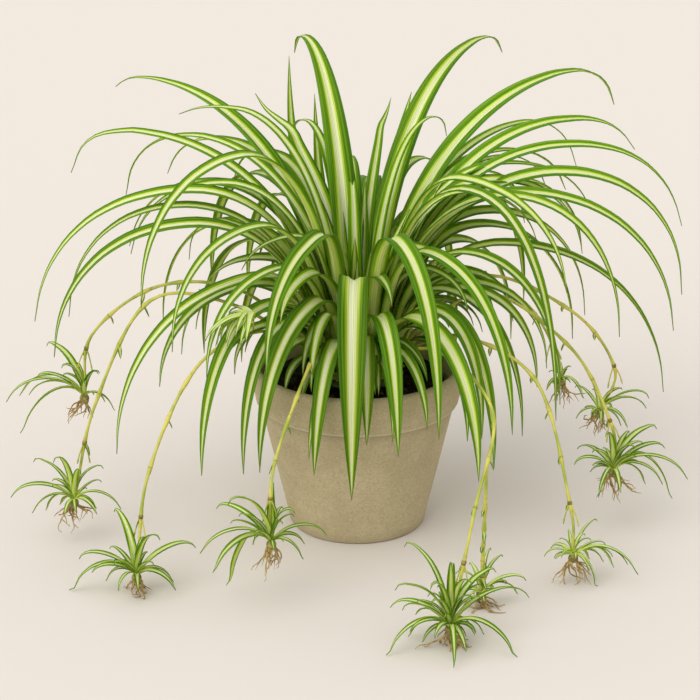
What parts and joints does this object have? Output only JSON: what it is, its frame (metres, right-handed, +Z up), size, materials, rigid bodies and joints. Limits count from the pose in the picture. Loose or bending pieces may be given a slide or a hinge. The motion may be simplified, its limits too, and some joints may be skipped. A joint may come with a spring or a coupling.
{
  "type": "potted spider plant",
  "caption": "Spider plant with arching cream-striped leaves in a tapered clay-grey pot; thin runners carry small rooted plantlets outside the rim.",
  "frame": {"origin": "centre of the pot's foot, on the surface that the pot stands on", "axes": "+Z up along the pot's axis, +X to the plant's right across its widest spread, -Y towards the front"},
  "size_m": [0.4838, 0.4259, 0.3479],
  "materials": {
    "pot": "matte warm grey cast clay with fine darker speckle",
    "soil": "near-black damp potting soil with a few bark chips",
    "leaf": "satin green blade with a cream-white stripe down the middle and fine lengthwise veins",
    "runner": "smooth yellow-green stem with darker joints",
    "plantlet": "satin green and cream blades with tan-brown roots"
  },
  "bodies": {
    "root": {"pot": "pot", "soil": "soil", "crown": "leaf", "leaf_back_tall_left": "leaf", "leaf_back_tall_right": "leaf", "leaf_back_1": "leaf", "leaf_back_2": "leaf", "leaf_back_3": "leaf", "leaf_back_4": "leaf", "leaf_back_5": "leaf", "leaf_back_6": "leaf", "leaf_right_1": "leaf", "leaf_right_2": "leaf", "leaf_right_3": "leaf", "leaf_right_4": "leaf", "leaf_right_5": "leaf", "leaf_right_6": "leaf", "leaf_right_7": "leaf", "leaf_right_8": "leaf", "leaf_right_9": "leaf", "leaf_front_1": "leaf", "leaf_front_2": "leaf", "leaf_front_3": "leaf", "leaf_front_4": "leaf", "leaf_front_5": "leaf", "leaf_front_6": "leaf", "leaf_front_7": "leaf", "leaf_front_8": "leaf", "leaf_front_9": "leaf", "leaf_front_10": "leaf", "leaf_front_11": "leaf", "leaf_left_1": "leaf", "leaf_left_2": "leaf", "leaf_left_3": "leaf", "leaf_left_4": "leaf", "leaf_left_5": "leaf", "leaf_left_6": "leaf", "leaf_left_7": "leaf", "leaf_left_8": "leaf", "leaf_left_9": "leaf", "leaf_left_10": "leaf", "runner_left_1": "runner", "runner_left_2": "runner", "runner_left_3": "runner", "runner_front_1": "runner", "runner_front_2": "runner", "runner_right_1": "runner", "runner_right_2": "runner", "runner_right_3": "runner", "runner_right_4": "runner", "plantlet_left_1": "plantlet", "plantlet_left_2": "plantlet", "plantlet_left_3": "plantlet", "plantlet_front_1": "plantlet", "plantlet_front_2": "plantlet", "plantlet_front_3": "plantlet", "plantlet_right_1": "plantlet", "plantlet_right_2": "plantlet", "plantlet_right_3": "plantlet", "plantlet_right_4": "plantlet"}
  },
  "joints": []
}
